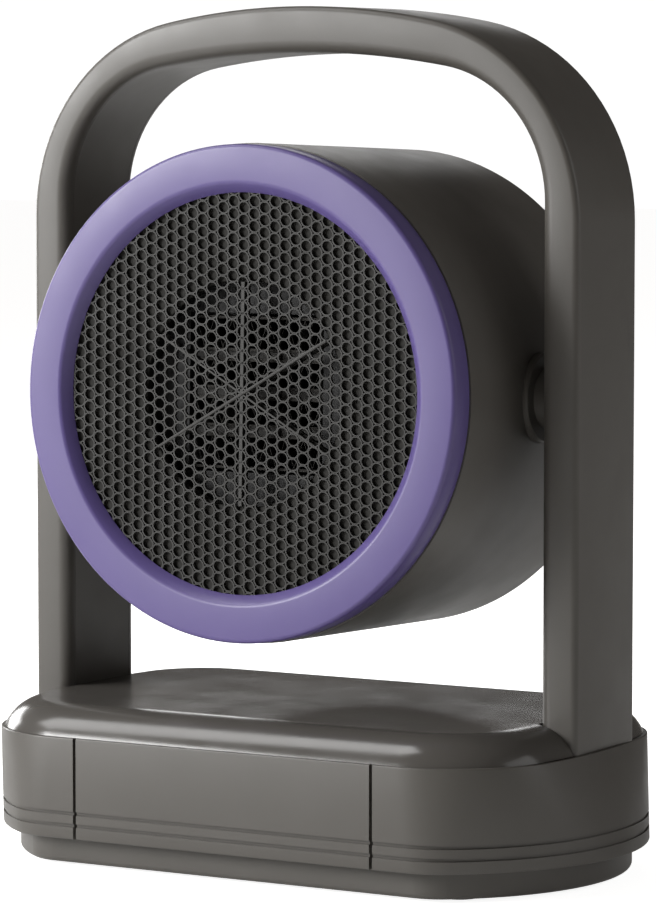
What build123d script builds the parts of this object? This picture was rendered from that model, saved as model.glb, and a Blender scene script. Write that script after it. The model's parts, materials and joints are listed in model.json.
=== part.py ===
from build123d import *
import math
import os

# Fan heater: a round head tilts between the legs of a carrying arch on a domed base.
# The front faces -Y, +Z is up, and the origin is under the middle of the base, on the floor.

# Head and arch widths that set the width of the whole
drum_r = 77.2
head_side_gap = 9.0
leg_thick = 12.8
base_past_leg = 9.0

# Base outline, seen from above: straight front and back, round corners, bowed ends
base_half_len = drum_r + head_side_gap + leg_thick + base_past_leg
base_half_depth = 62.5
base_corner_r = 22.0
base_bow_r = 72.0

# Base heights and walls
foot_lift = 1.2
tray_floor = 2.6
tray_wall = 2.6
plinth_inset = 5.5
plinth_round = 1.5
skirt_bottom_z = 9.8
rim_z = 41.8
skirt_wall = 2.6
skirt_shelf = 8.0
shelf_thick = 2.2
groove_width = 1.1
groove_depth = 0.7
groove_low_z = 14.2
groove_high_z = 18.0
rim_round = 0.5
seam_gap = 1.1
panel_half_width = 52.9
panel_clear = 0.1
tab_width = 9.0
tab_thick = 2.4
tab_reach = 3.4
tab_spread = 34.0
cover_top_z = 50.8
cover_round = 15.0
cover_wall = 2.5
cover_lip = 1.8
cover_ledge = 1.4
cover_post_r = 4.5
cover_post_x = base_half_len - 50.5
cover_post_y = base_half_depth - 26.5

# Feet and the small screws
foot_r = 8.0
foot_depth = 1.6
foot_x = base_half_len - 37.0
foot_y = base_half_depth - 23.5
screw_r = 1.6
screw_head_r = 3.2
screw_head_h = 2.0
screw_grip = 9.0
screw_clear = 0.3
screw_bite = 0.3
small_screw_r = screw_r - 0.5
small_head_r = 2.2
middle_head_r = 2.6
pan_head_h = 1.4
slot_width = 0.7
slot_depth = 0.6
edge_chamfer = 0.6
edge_round = 0.8
plate_clear = 0.1
fit_gap = 0.2
slide_gap = 0.3

# Arch, seen from the front: outer and inner line, each legs, corners and crown
pivot_z = cover_top_z + 98.5
arch_y = 3.7
arch_depth = 40.2
arch_inner_half = drum_r + head_side_gap
arch_inner_corner_r = 42.0
arch_inner_crown_r = 300.0
arch_inner_top_z = pivot_z + 106.5
arch_half_width = arch_inner_half + leg_thick
arch_corner_r = 63.0
arch_crown_r = 250.0
arch_top_z = arch_inner_top_z + 14.4
arch_foot_z = 14.0
arch_outer_round = 2.0
arch_inner_round = 3.8
arch_side_wall = 4.2
arch_outer_wall = 2.6
arch_block_h = 16.0
liner_thick = 2.2
liner_clear = 0.15
web_thick = 2.0
hook_width = 8.0
hook_thick = 1.6
hook_reach = 5.5
hook_barb = 2.0
hook_root = 0.8
leg_web_low = 32.0
leg_web_high = 60.0
crown_web_x = 30.0
bracket_boss_r = 3.4

# Head, measured from the pivot, with the tilt at rest
rest_tilt = 1.7
drum_wall = 2.4
drum_front_y = -47.1
drum_back_y = 53.0
drum_back_round = 5.0
drum_back_wall = 2.6
ring_outer_r = drum_r - 0.5
ring_front_y = -56.4
ring_round = 1.4
ring_lip_round = 0.8
ring_throat_r = ring_outer_r - 14.9
ring_lip_r = ring_throat_r + 3.1
ring_throat_depth = 3.5
ring_seat = 1.8
ring_spigot_wall = 3.6
ring_spigot_len = 6.0
grille_thick = 1.8
grille_pitch = 6.0
grille_web = 1.3
grille_rim = 1.0
baffle_thick = 1.8
baffle_open_r = 35.0
spoke_count = 6
spoke_width = 2.0
spoke_hub_r = 4.2
retainer_thick = 1.2
retainer_width = 13.5
ring_screw_count = 6

# Heating element and duct
duct_in_r = 36.5
duct_wall = 1.8
duct_len = 42.0
duct_flange = 7.7
duct_flange_thick = 1.6
core_front_gap = 5.0
core_depth = 14.0
core_half = 23.5
core_rows = 4
stone_thick = 2.4
plate_thick = 0.8
fin_sheet = 0.5
fin_folds = 14
stone_count = 3
stone_gap = 0.8
stone_margin = 4.0
core_side_clear = 0.6
core_end_clear = 1.2
end_plate_sink = 1.0
cutout_r = 6.0
cutout_h = 5.0

# Fan
blade_count = 7
blade_tip_gap = 2.5
blade_root_angle = 52.0
blade_tip_angle = 30.0
blade_chord_root = 13.0
blade_chord_tip = 20.0
blade_thick = 1.5
fan_hub_r = 12.0
fan_hub_len = 11.0
fan_back_gap = 6.0
shaft_r = 1.6
shaft_clear = 0.05
motor_r = 15.0
motor_len = 24.0
mount_ring_thick = 3.0
mount_ring_wall = 4.5
mount_arm_width = 7.0
mount_border = 2.6
mount_skin = 2.4
mount_hole_r = 4.2

# Pivots
pin_r = 4.0
pin_clear = 0.05
hub_collar_r = 14.0
hub_collar_h = 2.8
hub_neck_r = 9.5
hub_spigot_r = 8.0
hub_flat_depth = 1.5
pad_half = 14.0
pad_depth = 10.9
nut_thick = 4.0
nut_r = 13.0
washer_thick = 1.2
washer_step = 0.5
liner_pin_clear = 0.4
bracket_thick = 3.0
bracket_half_h = 22.0
bracket_half_y = 13.0
bracket_gap = 0.8
bracket_head_h = 0.7
bracket_screw_len = 6.0
bracket_screw_edge = 5.0

# Air inlet at the back of the drum
inlet_r = drum_r - 18.9
inlet_thick = 2.4
inlet_seat_width = 5.0
rear_boss_r = 4.2
rear_boss_len = 9.0
inlet_slots = 13
inlet_slot_w = 4.2
inlet_pitch = 8.0
inlet_margin = 8.0
rear_screw_count = 4
rear_head_r = 2.8
rear_bar_half = 1.6
rear_bar_sink = 0.8

# Recessed field at the back of the base, for the switch and the mains lead
field_half_width = 58.0
field_low_z = 21.0
field_high_z = 37.0
field_depth = 4.5
field_wall = 2.4
field_corner_r = 4.0

# Electrics in the base
board_size = (72.0, 46.0, 1.6)
board_x = -8.0
board_lift = 6.0
board_post_r = 3.0
board_screw_len = 5.5
relay_size = (20.0, 16.0, 15.0)
relay_place = (-12.0, 4.0)
relay_round = 1.2
terminal_size = (30.0, 11.0, 12.0)
terminal_place = (16.0, 6.0)
terminal_count = 4
terminal_pitch = 7.0
terminal_hole_r = 2.2
terminal_hole_depth = 5.0
rocker_x = 42.0
rocker_z = 29.0
rocker_size = (19.0, 12.0)
rocker_depth = 16.0
rocker_flange = 1.6
rocker_border = 1.6
rocker_wall = 1.4
rocker_throw = 10.0
rocker_stud_r = 1.2
rocker_cavity = 7.0
rocker_tag = (0.8, 7.0, 4.8)
rocker_tag_pitch = 5.0
rocker_key_taper = 1.0
rocker_key_end = 3.2
rocker_key_middle = 5.2
inlet_bush_x = -42.0
inlet_bush_z = 29.0
inlet_bush_r = 6.0
inlet_bush_border = 1.6
inlet_bush_depth = 11.0
inlet_hole_r = 3.3
inlet_bush_flange = 2.0
plunger_r = 3.0
plunger_collar_r = 4.6
plunger_collar_h = 1.5
plunger_tip_z = 0.2
plunger_travel = 3.0
tip_body = (16.0, 12.0, 14.0)
tip_y = base_half_depth - 24.5

# Worked out from the values above
tray_top_z = foot_lift + tray_floor
leg_front_y = arch_y - arch_depth / 2
leg_back_y = arch_y + arch_depth / 2
duct_front_y = ring_front_y + ring_throat_depth + grille_thick + baffle_thick
duct_back_y = duct_front_y + duct_len
core_front_y = duct_front_y + core_front_gap
motor_front_y = duct_back_y + mount_ring_thick
fan_front_y = duct_back_y - fan_back_gap - fan_hub_len
pocket_r = ring_throat_r + ring_seat
duct_flange_r = duct_in_r + duct_wall + duct_flange
hub_flat_x = drum_r - hub_flat_depth
pad_inner_x = drum_r - pad_depth
rear_screw_ring_r = inlet_r - 3.8
screw_face_z = foot_lift + 0.6
field_y = base_half_depth - field_depth
rocker_axis_y = field_y


def base_plan(inset):
    """Outline of the base seen from above, moved inwards by inset."""
    half_len, half_depth = base_half_len - inset, base_half_depth - inset
    corner, bow = base_corner_r - inset, base_bow_r - inset
    cy = half_depth - corner
    run = math.sqrt((bow - corner) ** 2 - cy ** 2)
    cx = half_len - bow + run
    turn = math.degrees(math.atan2(cy, run))
    edges = [
        CenterArc((half_len - bow, 0), bow, -turn, 2 * turn),
        CenterArc((cx, cy), corner, turn, 90 - turn),
        Line((cx, half_depth), (-cx, half_depth)),
        CenterArc((-cx, cy), corner, 90, 90 - turn),
        CenterArc((bow - half_len, 0), bow, 180 - turn, 2 * turn),
        CenterArc((-cx, -cy), corner, 180 + turn, 90 - turn),
        Line((-cx, -half_depth), (cx, -half_depth)),
        CenterArc((cx, -cy), corner, 270, 90 - turn),
    ]
    return make_face(edges)


def base_block(inset, z_low, z_high):
    return Pos(0, 0, z_low) * extrude(base_plan(inset), z_high - z_low)


def base_wall(outer_inset, inner_inset, z_low, z_high):
    return base_block(outer_inset, z_low, z_high) - base_block(inner_inset, z_low, z_high)


def box_between(low, high):
    size = [b - a for a, b in zip(low, high)]
    return Pos(*low) * Box(*size, align=(Align.MIN, Align.MIN, Align.MIN))


def rod(r, start, end):
    """Round bar from one point to another."""
    path = Vector(*end) - Vector(*start)
    bar = Cylinder(r, path.length, align=(Align.CENTER, Align.CENTER, Align.MIN))
    return Plane(Vector(*start), z_dir=path) * bar


def corners(x, y):
    return [(sx * x, sy * y) for sx in (-1, 1) for sy in (-1, 1)]


def outline_grooves():
    """The two grooves that run round the skirt and across the front panel."""
    cuts = [base_wall(-1, groove_depth, z - groove_width / 2, z + groove_width / 2)
            for z in (groove_low_z, groove_high_z)]
    return cuts[0] + cuts[1]


def panel_tabs(clear):
    """Tabs of the front panel, and with a clearance the slots that take them."""
    back = -base_half_depth + skirt_wall
    tabs = Part()
    for x in (-tab_spread, tab_spread):
        for z in (rim_z - 9, skirt_bottom_z + 14):
            half_w, half_h = tab_width / 2 + clear, tab_thick / 2 + clear
            tabs += box_between((x - half_w, back - panel_clear - 0.4, z - half_h),
                                (x + half_w, back + tab_reach + clear, z + half_h))
    return tabs


def leg_boxes(gap, z_low, z_high, outer_x):
    """Two boxes round the legs, to cut their ways through the base."""
    right = box_between((arch_inner_half - gap, leg_front_y - gap, z_low),
                        (outer_x, leg_back_y + gap, z_high))
    return right + mirror(right, Plane.YZ)


def make_skirt():
    wall = base_wall(0, skirt_wall, skirt_bottom_z, rim_z)
    wall = chamfer(wall.faces().sort_by(Axis.Z)[-1].outer_wire().edges(), rim_round)
    shelf = base_wall(skirt_wall, skirt_shelf, skirt_bottom_z, skirt_bottom_z + shelf_thick)
    flange = base_wall(skirt_wall, skirt_shelf, rim_z - shelf_thick, rim_z)
    reach = panel_half_width + seam_gap + 4
    backing = base_wall(skirt_wall, skirt_wall + 2, skirt_bottom_z, rim_z)
    backing &= box_between((-reach, -base_half_depth, skirt_bottom_z), (reach, 0, rim_z))
    half = panel_half_width + seam_gap
    window = box_between((-half, -base_half_depth - 1, skirt_bottom_z - 1),
                         (half, -base_half_depth + skirt_wall, rim_z + 1))
    skirt = wall - outline_grooves() - window + shelf + flange + backing
    skirt -= panel_tabs(fit_gap)
    skirt -= leg_boxes(slide_gap, arch_foot_z, rim_z + 1, arch_half_width + slide_gap)
    skirt += back_field(field_wall, field_y - field_wall, base_half_depth - skirt_wall / 2)
    skirt -= back_field(0, field_y, base_half_depth + 1)
    skirt -= rod(inlet_bush_r + fit_gap, (inlet_bush_x, field_y - 5, inlet_bush_z),
                 (inlet_bush_x, field_y + 1, inlet_bush_z))
    half_w, half_h = rocker_size[0] / 2 + fit_gap, rocker_size[1] / 2 + fit_gap
    skirt -= box_between((rocker_x - half_w, field_y - 5, rocker_z - half_h),
                         (rocker_x + half_w, field_y + 1, rocker_z + half_h))
    return skirt


def back_field(border, y_low, y_high):
    """Block of the recessed field at the back, made larger by border."""
    width = 2 * (field_half_width + border)
    height = field_high_z - field_low_z + 2 * border
    middle = (field_low_z + field_high_z) / 2
    plane = Plane((0, y_low, middle), x_dir=(1, 0, 0), z_dir=(0, -1, 0))
    return extrude(plane * RectangleRounded(width, height, field_corner_r + border), -(y_high - y_low))


def make_panel():
    panel = box_between((-panel_half_width, -base_half_depth, skirt_bottom_z),
                        (panel_half_width, -base_half_depth + skirt_wall - panel_clear, rim_z))
    panel = chamfer(panel.edges().filter_by_position(Axis.Y, -base_half_depth, -base_half_depth)
                    .filter_by_position(Axis.Z, rim_z, rim_z), rim_round)
    return panel - outline_grooves() + panel_tabs(0)


def make_tray():
    tray = base_block(plinth_inset, foot_lift, skirt_bottom_z)
    tray = fillet(tray.edges().filter_by_position(Axis.Z, foot_lift, foot_lift), plinth_round)
    tray -= base_block(plinth_inset + tray_wall, tray_top_z, skirt_bottom_z + 1)
    inner = skirt_shelf + fit_gap
    lip = base_wall(inner, inner + 2, tray_top_z, skirt_bottom_z + shelf_thick + 3)
    tray += lip - leg_boxes(slide_gap, arch_foot_z - 1, rim_z, arch_half_width + slide_gap)
    for x, y in corners(foot_x, foot_y):
        tray -= rod(foot_r + fit_gap, (x, y, 0), (x, y, foot_lift + foot_depth))
    for x, y in corners(cover_post_x, cover_post_y):
        tray += rod(cover_post_r + 1, (x, y, tray_top_z), (x, y, arch_foot_z))
        tray -= rod(screw_r + screw_clear, (x, y, 0), (x, y, arch_foot_z))
        tray -= rod(screw_head_r + screw_clear, (x, y, 0), (x, y, screw_face_z + screw_head_h))
    half = (arch_half_width - arch_inner_half) / 2 - 3.2
    mid = arch_half_width - (arch_half_width - arch_inner_half) / 2
    seat = box_between((mid - half, leg_front_y + 2, tray_top_z), (mid + half, leg_back_y - 2, arch_foot_z))
    tray += (seat + mirror(seat, Plane.YZ)) & base_block(inner, tray_top_z, arch_foot_z)
    for x, y in arch_screw_places():
        tray -= rod(screw_r + screw_clear, (x, y, 0), (x, y, arch_foot_z))
        tray -= rod(screw_head_r + screw_clear, (x, y, 0), (x, y, screw_face_z + screw_head_h))
    tray -= rod(plunger_r + slide_gap, (0, tip_y, 0), (0, tip_y, tray_top_z))
    for x, y in board_posts():
        tray += rod(board_post_r, (x, y, tray_top_z), (x, y, tray_top_z + board_lift))
        tray -= rod(screw_r - screw_bite, (x, y, tray_top_z - 0.5), (x, y, tray_top_z + board_lift + 1))
    return tray


def arch_screw_places():
    mid = (arch_half_width + arch_inner_half) / 2
    return [(sx * mid, arch_y + sy * arch_depth / 4) for sx in (-1, 1) for sy in (-1, 1)]


def board_posts():
    x, y = board_size[0] / 2 - 4, board_size[1] / 2 - 4
    return [(board_x + px, py) for px, py in corners(x, y)]


def make_cover():
    """Domed top: a block with a large round, hollowed, with a walled recess for each leg."""
    low = cover_top_z - cover_round
    outer = base_block(0, low, cover_top_z)
    outer = fillet(outer.edges().filter_by_position(Axis.Z, cover_top_z, cover_top_z), cover_round - 0.05)
    inner = base_block(cover_wall, low, cover_top_z - cover_wall)
    inner_top = cover_top_z - cover_wall
    inner_round = cover_round - cover_wall - 0.05
    inner = fillet(inner.edges().filter_by_position(Axis.Z, inner_top, inner_top), inner_round)
    dome = outer & base_block(-5, rim_z, cover_top_z + 1)
    cover = dome - inner
    lip_inset = skirt_shelf + fit_gap
    lip = base_wall(lip_inset, lip_inset + cover_lip, rim_z - 3, inner_top - 1)
    cover += lip
    for x, y in corners(cover_post_x, cover_post_y):
        cover += rod(cover_post_r, (x, y, arch_foot_z), (x, y, inner_top + 1))
        cover -= rod(screw_r, (x, y, arch_foot_z - 1), (x, y, arch_foot_z + screw_grip + 3))
    end_x = base_half_len + 1
    cover -= leg_boxes(slide_gap, rim_z - 4, cover_top_z + 1, end_x)
    cheeks = leg_boxes(slide_gap + cover_wall, rim_z, cover_top_z, end_x)
    cheeks -= leg_boxes(slide_gap, rim_z + cover_ledge, cover_top_z + 1, end_x)
    cheeks -= leg_boxes(slide_gap, rim_z - 1, rim_z + cover_ledge + 1, arch_half_width + slide_gap)
    return cover + (cheeks & dome)


def make_feet():
    foot = rod(foot_r, (0, 0, 0), (0, 0, foot_lift + foot_depth))
    foot = fillet(foot.edges().filter_by_position(Axis.Z, 0, 0), edge_round)
    return [Pos(x, y, 0) * foot for x, y in corners(foot_x, foot_y)]


def screw(head, tip, r=screw_r, head_r=screw_head_r, head_h=screw_head_h):
    """Plain pan-head screw from the outer face of its head to its tip."""
    way = (Vector(*tip) - Vector(*head)).normalized()
    under = Vector(*head) + way * head_h
    shank = rod(r, tuple(under), tip)
    cap = rod(head_r, head, tuple(under))
    slot = Plane(Vector(*head), z_dir=way) * Box(head_r * 1.5, slot_width, 2 * slot_depth)
    return cap + shank - slot


def cover_screws():
    return [screw((x, y, screw_face_z), (x, y, arch_foot_z + screw_grip))
            for x, y in corners(cover_post_x, cover_post_y)]


def arch_screws():
    return [screw((x, y, screw_face_z), (x, y, arch_foot_z + screw_grip)) for x, y in arch_screw_places()]


def arch_block(half_width, corner, crown, top_z, shrink, depth, z_low=arch_foot_z):
    """Filled arch: two straight legs, two corner arcs and a crown arc, made smaller by shrink."""
    crown_z = top_z - crown
    cx = half_width - corner
    rise = math.sqrt((crown - corner) ** 2 - cx ** 2)
    cz = crown_z + rise
    turn = math.degrees(math.atan2(rise, cx))
    w, r, big = half_width - shrink, corner - shrink, crown - shrink
    edges = [
        Line((-w, z_low), (w, z_low)),
        Line((w, z_low), (w, cz)),
        CenterArc((cx, cz), r, 0, turn),
        CenterArc((0, crown_z), big, turn, 180 - 2 * turn),
        CenterArc((-cx, cz), r, 180 - turn, turn),
        Line((-w, cz), (-w, z_low)),
    ]
    front = Plane((0, arch_y - depth / 2, 0), x_dir=(1, 0, 0), z_dir=(0, -1, 0))
    return extrude(front * make_face(edges), -depth)


def outer_arch(shrink, depth, z_low=arch_foot_z):
    return arch_block(arch_half_width, arch_corner_r, arch_crown_r, arch_top_z, shrink, depth, z_low)


def inner_arch(shrink, depth, z_low=arch_foot_z):
    return arch_block(arch_inner_half, arch_inner_corner_r, arch_inner_crown_r, arch_inner_top_z,
                      shrink, depth, z_low)


def hook_spots():
    """Local frames of the liner's hooks: origin on the liner's back, X outwards, Z away from the web."""
    spots = []
    for side in (-1, 1):
        for dz in (-leg_web_high, leg_web_high):
            face_z = pivot_z + dz + math.copysign(web_thick / 2, dz)
            spots.append(Plane((side * (arch_inner_half + liner_thick), arch_y, face_z),
                               x_dir=(side, 0, 0), z_dir=(0, 0, math.copysign(1, dz))))
    for x in (-crown_web_x, crown_web_x):
        drop = arch_inner_crown_r - math.sqrt(arch_inner_crown_r ** 2 - x ** 2)
        side = math.copysign(1, x)
        spots.append(Plane((x + side * web_thick / 2, arch_y, arch_inner_top_z + liner_thick - drop),
                           x_dir=(0, 0, 1), z_dir=(side, 0, 0)))
    return spots


def liner_hook():
    half = hook_width / 2
    arm = box_between((-hook_root, -half, fit_gap), (hook_reach, half, fit_gap + hook_thick))
    return arm + box_between((hook_reach - hook_barb, -half, -web_thick * 0.6), (hook_reach, half, fit_gap))


def hook_window():
    half = hook_width / 2 + fit_gap
    return box_between((hook_reach - hook_barb - fit_gap, -half, -web_thick - 0.5),
                       (hook_reach + fit_gap, half, 0.5))


def rim_is_inside(middle, point):
    """True for a point of the arch's inner rim, which lies within the middle line of the band."""
    return middle.is_inside(Vector(point.X, arch_y, point.Z))


def make_arch_shell():
    band = outer_arch(0, arch_depth) - inner_arch(0, arch_depth + 2, arch_foot_z - 1)
    middle = outer_arch(leg_thick / 2, arch_depth)
    for inside, round_r in ((True, arch_inner_round), (False, arch_outer_round)):
        rims = [e for y in (leg_front_y, leg_back_y) for e in band.edges().filter_by_position(Axis.Y, y, y)
                if (e @ 0.5).Z > arch_foot_z + 0.1 and rim_is_inside(middle, e @ 0.5) == inside]
        band = fillet(rims, round_r)
    hollow_depth = arch_depth - 2 * arch_side_wall
    block_top = arch_foot_z + arch_block_h
    hollow = outer_arch(arch_outer_wall, hollow_depth, block_top)
    hollow -= inner_arch(0, hollow_depth + 2, block_top - 1)
    shell = band - hollow
    back_x = arch_inner_half + liner_thick
    half_depth = hollow_depth / 2
    for side in (-1, 1):
        for dz in (-leg_web_high, -leg_web_low, leg_web_low, leg_web_high):
            z = pivot_z + dz
            ends = sorted((side * back_x, side * (arch_half_width - arch_outer_wall + 0.3)))
            shell += box_between((ends[0], arch_y - half_depth - 0.3, z - web_thick / 2),
                                 (ends[1], arch_y + half_depth + 0.3, z + web_thick / 2))
        for dz in bracket_screw_rows():
            shell += rod(bracket_boss_r, (side * bracket_x()[1], arch_y, pivot_z + dz),
                         (side * (arch_half_width - arch_outer_wall + 0.3), arch_y, pivot_z + dz))
    for side in (-1, 1):
        for dz in bracket_screw_rows():
            shell -= rod(screw_r, (side * bracket_x()[0], arch_y, pivot_z + dz),
                         (side * (bracket_x()[0] + bracket_screw_len + 0.5), arch_y, pivot_z + dz))
    for x in (-crown_web_x, crown_web_x):
        top = arch_top_z - arch_outer_wall - 1.5
        shell += box_between((x - web_thick / 2, arch_y - half_depth - 0.3, arch_inner_top_z + liner_thick),
                             (x + web_thick / 2, arch_y + half_depth + 0.3, top))
    for x, y in arch_screw_places():
        shell -= rod(screw_r, (x, y, arch_foot_z - 1), (x, y, arch_foot_z + screw_grip + 2))
    for spot in hook_spots():
        shell -= spot * hook_window()
    return shell


def make_liner():
    """Strip that closes the hollow of the arch along its inner line."""
    depth = arch_depth - 2 * arch_side_wall - 2 * liner_clear
    low = arch_foot_z + arch_block_h + liner_clear
    strip = inner_arch(-liner_thick, depth, low) - inner_arch(0, depth + 2, low - 1)
    for spot in hook_spots():
        strip += spot * liner_hook()
    for side in (-1, 1):
        strip -= rod(pin_r + liner_pin_clear, (side * (arch_inner_half - 5), arch_y, pivot_z),
                     (side * (arch_inner_half + 5), arch_y, pivot_z))
    return strip


def bracket_x():
    inner = arch_inner_half + liner_thick + bracket_gap
    return inner, inner + bracket_thick


def bracket_screw_rows():
    return (bracket_screw_edge - bracket_half_h, bracket_half_h - bracket_screw_edge)


def make_bracket(side):
    near, far = bracket_x()
    ends = sorted((side * near, side * far))
    plate = box_between((ends[0], arch_y - bracket_half_y, pivot_z - bracket_half_h),
                        (ends[1], arch_y + bracket_half_y, pivot_z + bracket_half_h))
    plate = fillet(plate.edges().filter_by(Axis.X), 4)
    plate -= rod(pin_r, (ends[0] - 1, arch_y, pivot_z), (ends[1] + 1, arch_y, pivot_z))
    for dz in bracket_screw_rows():
        plate -= rod(screw_r + plate_clear, (ends[0] - 1, arch_y, pivot_z + dz),
                     (ends[1] + 1, arch_y, pivot_z + dz))
    return plate


def bracket_screws():
    near = bracket_x()[0]
    places = [(side, dz) for side in (-1, 1) for dz in bracket_screw_rows()]
    return [screw((side * (near - bracket_head_h), arch_y, pivot_z + dz),
                  (side * (near + bracket_screw_len), arch_y, pivot_z + dz),
                  head_r=middle_head_r, head_h=bracket_head_h) for side, dz in places]


def make_pin(side):
    tip = pad_inner_x + 1
    far = bracket_x()[1]
    pin = rod(pin_r, (side * tip, arch_y, pivot_z), (side * far, arch_y, pivot_z))
    pin = chamfer(pin.edges().filter_by_position(Axis.X, side * tip, side * tip), edge_chamfer)
    return pin


def turned(points):
    """Solid of revolution about the head's long axis, from corners given as (radius, y)."""
    face = make_face(Polyline([(r, y) for r, y in points], close=True))
    return revolve(face, Axis.Y)


def make_drum():
    outer = turned([(0, drum_front_y), (drum_r, drum_front_y), (drum_r, drum_back_y), (0, drum_back_y)])
    outer = fillet(outer.edges().filter_by_position(Axis.Y, drum_back_y, drum_back_y), drum_back_round)
    inner_back = drum_back_y - drum_back_wall
    inner_r = drum_r - drum_wall
    inner = turned([(0, drum_front_y - 1), (inner_r, drum_front_y - 1),
                    (inner_r, inner_back), (0, inner_back)])
    inner_round = drum_back_round - drum_wall
    inner = fillet(inner.edges().filter_by_position(Axis.Y, inner_back, inner_back), inner_round)
    drum = outer - inner
    for side in (-1, 1):
        ends = sorted((side * pad_inner_x, side * (drum_r - 2)))
        pad = box_between((ends[0], -pad_half, -pad_half), (ends[1], pad_half, pad_half))
        drum += pad & outer
        drum -= rod(hub_collar_r + fit_gap, (side * hub_flat_x, 0, 0), (side * (drum_r + 2), 0, 0))
        drum -= rod(hub_spigot_r + plate_clear, (side * (pad_inner_x - 1), 0, 0), (side * drum_r, 0, 0))
    drum -= rod(inlet_r + fit_gap, (0, drum_back_y - inlet_thick, 0), (0, drum_back_y + 1, 0))
    drum -= rod(inlet_r - inlet_seat_width, (0, inner_back - 1, 0), (0, drum_back_y, 0))
    seat_back = drum_back_y - inlet_thick
    seat_front = seat_back - drum_back_wall
    seat = rod(inlet_r + 2, (0, seat_front, 0), (0, seat_back, 0))
    drum += seat - rod(inlet_r - inlet_seat_width, (0, seat_front - 1, 0), (0, seat_back + 1, 0))
    for x, z in rear_screw_places():
        drum += rod(rear_boss_r, (x, seat_back - rear_boss_len, z), (x, seat_back, z))
        drum -= rod(screw_r, (x, seat_back - rear_boss_len + 1, z), (x, seat_back + 1, z))
    return drum


def rear_screw_places():
    return [polar(rear_screw_ring_r, 45 + a * 360 / rear_screw_count) for a in range(rear_screw_count)]


def polar(r, degrees):
    return r * math.cos(math.radians(degrees)), r * math.sin(math.radians(degrees))


def make_ring():
    """Front ring: flat face, funnel to the grille, pocket for grille and baffle, spigot into the drum."""
    throat_y = ring_front_y + ring_throat_depth
    spigot_r = drum_r - drum_wall - fit_gap
    spigot_in = spigot_r - ring_spigot_wall
    ring = turned([
        (ring_lip_r, ring_front_y), (ring_outer_r, ring_front_y), (ring_outer_r, drum_front_y),
        (spigot_r, drum_front_y), (spigot_r, drum_front_y + ring_spigot_len),
        (spigot_in, drum_front_y + ring_spigot_len), (spigot_in, duct_front_y), (pocket_r, duct_front_y),
        (pocket_r, throat_y), (ring_throat_r, throat_y),
    ])
    front = ring.edges().filter_by_position(Axis.Y, ring_front_y, ring_front_y).sort_by(SortBy.RADIUS)
    ring = fillet(front[-1], ring_round)
    front = ring.edges().filter_by_position(Axis.Y, ring_front_y, ring_front_y).sort_by(SortBy.RADIUS)
    ring = fillet(front[0], ring_lip_round)
    for a in range(ring_screw_count):
        x, z = polar(retainer_screw_r(), a * 360 / ring_screw_count)
        ring -= rod(small_screw_r, (x, duct_front_y - 5, z), (x, duct_front_y + 1, z))
    return ring


def retainer_out_r():
    return drum_r - drum_wall - fit_gap - ring_spigot_wall - fit_gap


def retainer_screw_r():
    return (pocket_r + retainer_out_r()) / 2


def make_grille():
    """Honeycomb disc: six-sided holes in columns, cut off by a plain round rim."""
    front_y = ring_front_y + ring_throat_depth
    disc = rod(pocket_r - fit_gap, (0, front_y, 0), (0, front_y + grille_thick, 0))
    hole_r = (grille_pitch - grille_web) / math.sqrt(3)
    column = grille_pitch * math.sqrt(3) / 2
    reach = ring_throat_r - grille_rim
    holes = []
    for i in range(-int(reach / column) - 1, int(reach / column) + 2):
        for j in range(-int(reach / grille_pitch) - 1, int(reach / grille_pitch) + 2):
            x, z = i * column, (j + 0.5 * (i % 2)) * grille_pitch
            hole = Pos(x, z) * RegularPolygon(hole_r, 6)
            if math.hypot(x, z) + hole_r < reach:
                holes.append(hole)
            elif math.hypot(x, z) < reach:
                holes.append(hole & Circle(reach))
    plane = Plane((0, front_y - 1, 0), x_dir=(1, 0, 0), z_dir=(0, 1, 0))
    holes = Sketch() + holes
    return disc - extrude(plane * holes, grille_thick + 2)


def make_baffle():
    """Plate with the round air opening, six spokes and their hub in one moulding."""
    front_y = duct_front_y - baffle_thick
    plate = rod(pocket_r - fit_gap, (0, front_y, 0), (0, duct_front_y, 0))
    plate -= rod(baffle_open_r, (0, front_y - 1, 0), (0, duct_front_y + 1, 0))
    plate += rod(spoke_hub_r, (0, front_y, 0), (0, duct_front_y, 0))
    for a in range(spoke_count):
        spoke = box_between((spoke_hub_r - 1, front_y, -spoke_width / 2),
                            (baffle_open_r + 0.5, duct_front_y, spoke_width / 2))
        plate += Rot(0, 30 + a * 360 / spoke_count, 0) * spoke
    for a in range(4):
        x, z = polar(duct_flange_r - 4, 45 + 90 * a)
        plate -= rod(small_screw_r, (x, front_y - 1, z), (x, duct_front_y + 1, z))
    return plate


def make_retainer():
    ring = rod(retainer_out_r(), (0, duct_front_y, 0), (0, duct_front_y + retainer_thick, 0))
    ring -= rod(retainer_out_r() - retainer_width, (0, duct_front_y - 1, 0),
                (0, duct_front_y + retainer_thick + 1, 0))
    for a in range(ring_screw_count):
        x, z = polar(retainer_screw_r(), a * 360 / ring_screw_count)
        ring -= rod(small_screw_r + plate_clear, (x, duct_front_y - 1, z),
                    (x, duct_front_y + retainer_thick + 1, z))
    return ring


def ring_screws():
    y = duct_front_y + retainer_thick
    places = [polar(retainer_screw_r(), a * 360 / ring_screw_count) for a in range(ring_screw_count)]
    return [screw((x, y + pan_head_h, z), (x, y - 4.5, z), r=small_screw_r, head_r=small_head_r,
                  head_h=pan_head_h) for x, z in places]


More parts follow.
